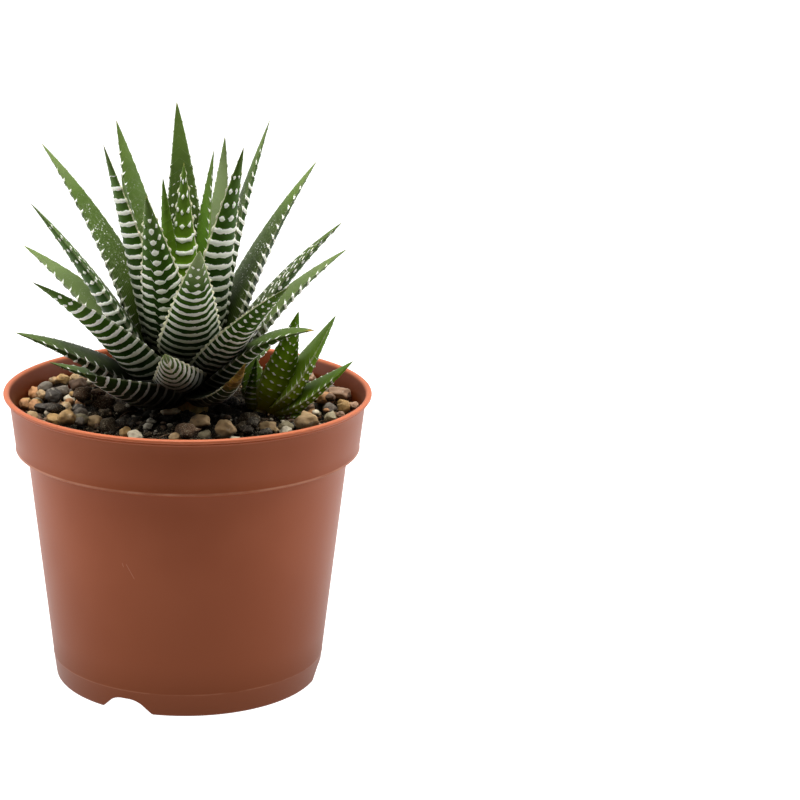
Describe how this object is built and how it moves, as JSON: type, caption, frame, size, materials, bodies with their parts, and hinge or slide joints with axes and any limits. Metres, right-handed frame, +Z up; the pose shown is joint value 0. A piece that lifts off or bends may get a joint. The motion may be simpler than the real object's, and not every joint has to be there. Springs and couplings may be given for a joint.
{
  "type": "potted haworthia",
  "caption": "Small rosette of striped, pointed succulent leaves with one offset, rooted in dark soil and gravel in a round terracotta-coloured plastic nursery pot.",
  "frame": {"origin": "centre of the pot's foot, on the surface that it stands on", "axes": "+Z up through the pot's axis, -Y towards the side that the picture shows, +X to its right"},
  "size_m": [0.105, 0.105, 0.1654],
  "materials": {
    "pot_plastic": "satin",
    "soil": "matte",
    "gravel": "matte",
    "stem": "matte",
    "young_leaf": "satin",
    "mature_leaf": "satin",
    "offset_leaf": "satin"
  },
  "bodies": {
    "root": {"pot": "pot_plastic", "soil": "soil", "stem": "stem", "offset_stem": "stem", "heart_leaf_1": "young_leaf", "heart_leaf_2": "young_leaf", "heart_leaf_3": "young_leaf", "inner_leaf_1": "mature_leaf", "inner_leaf_2": "mature_leaf", "inner_leaf_3": "mature_leaf", "middle_leaf_1": "mature_leaf", "middle_leaf_2": "mature_leaf", "middle_leaf_3": "mature_leaf", "middle_leaf_4": "mature_leaf", "middle_leaf_5": "mature_leaf", "middle_leaf_6": "mature_leaf", "middle_leaf_7": "mature_leaf", "middle_leaf_8": "mature_leaf", "middle_leaf_9": "mature_leaf", "outer_leaf_1": "mature_leaf", "outer_leaf_2": "mature_leaf", "outer_leaf_3": "mature_leaf", "outer_leaf_4": "mature_leaf", "outer_leaf_5": "mature_leaf", "outer_leaf_6": "mature_leaf", "lower_leaf_1": "mature_leaf", "lower_leaf_2": "mature_leaf", "lower_leaf_3": "mature_leaf", "lower_leaf_4": "mature_leaf", "lowest_leaf_1": "mature_leaf", "lowest_leaf_2": "mature_leaf", "lowest_leaf_3": "mature_leaf", "lowest_leaf_4": "mature_leaf", "lowest_leaf_5": "mature_leaf", "lowest_leaf_6": "mature_leaf", "lowest_leaf_7": "mature_leaf", "offset_leaf_1": "offset_leaf", "offset_leaf_2": "offset_leaf", "offset_leaf_3": "offset_leaf", "offset_leaf_4": "offset_leaf", "offset_leaf_5": "offset_leaf", "offset_leaf_6": "offset_leaf", "pebbles_left": "gravel", "pebbles_right": "gravel", "pebbles_back": "gravel", "front_pebble_1": "gravel", "front_pebble_2": "gravel", "front_pebble_3": "gravel", "front_pebble_4": "gravel", "front_pebble_5": "gravel", "front_pebble_6": "gravel", "front_pebble_7": "gravel", "front_pebble_8": "gravel", "front_pebble_9": "gravel", "front_pebble_10": "gravel", "front_pebble_11": "gravel", "front_pebble_12": "gravel"}
  },
  "joints": []
}
